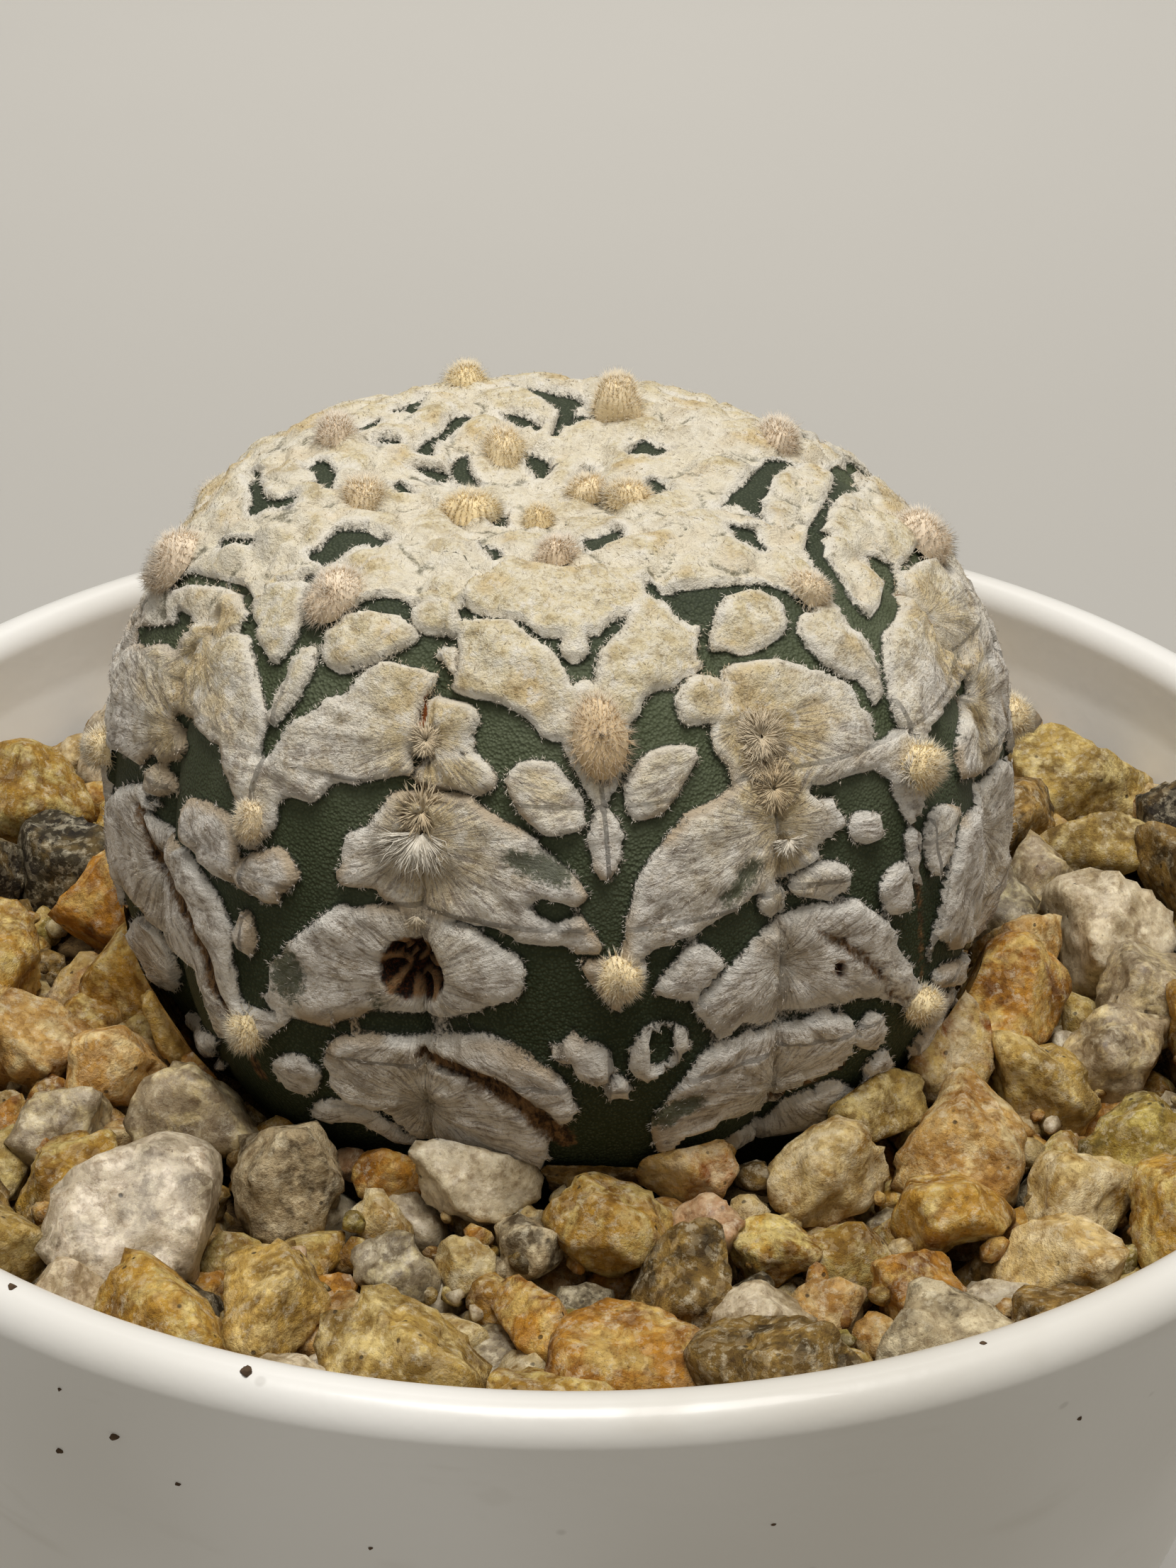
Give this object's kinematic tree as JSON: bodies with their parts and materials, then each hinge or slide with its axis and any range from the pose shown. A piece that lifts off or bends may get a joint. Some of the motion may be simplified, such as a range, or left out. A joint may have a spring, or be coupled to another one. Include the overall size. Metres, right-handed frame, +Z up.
{
  "type": "potted super kabuto star cactus",
  "caption": "Low ribbed globe of a star cactus with raised white felt patches and woolly areoles, set in grit in a small plain white round tapered pot.",
  "frame": {"origin": "centre of the pot's underside, on the plane that it stands on", "axes": "+Z up along the pot's axis, -Y towards the side that the picture shows"},
  "size_m": [0.07, 0.07, 0.079],
  "materials": {
    "pot": "white satin",
    "potting_mix": "dark damp crumbs of peat and pumice",
    "grit": "rough ochre, cream and grey quartz grains",
    "cactus": "dark green skin under cream white felt patches and tan wool"
  },
  "bodies": {
    "root": {"pot": "pot", "potting_mix": "potting_mix", "grit": "grit", "cactus": "cactus"}
  },
  "joints": []
}
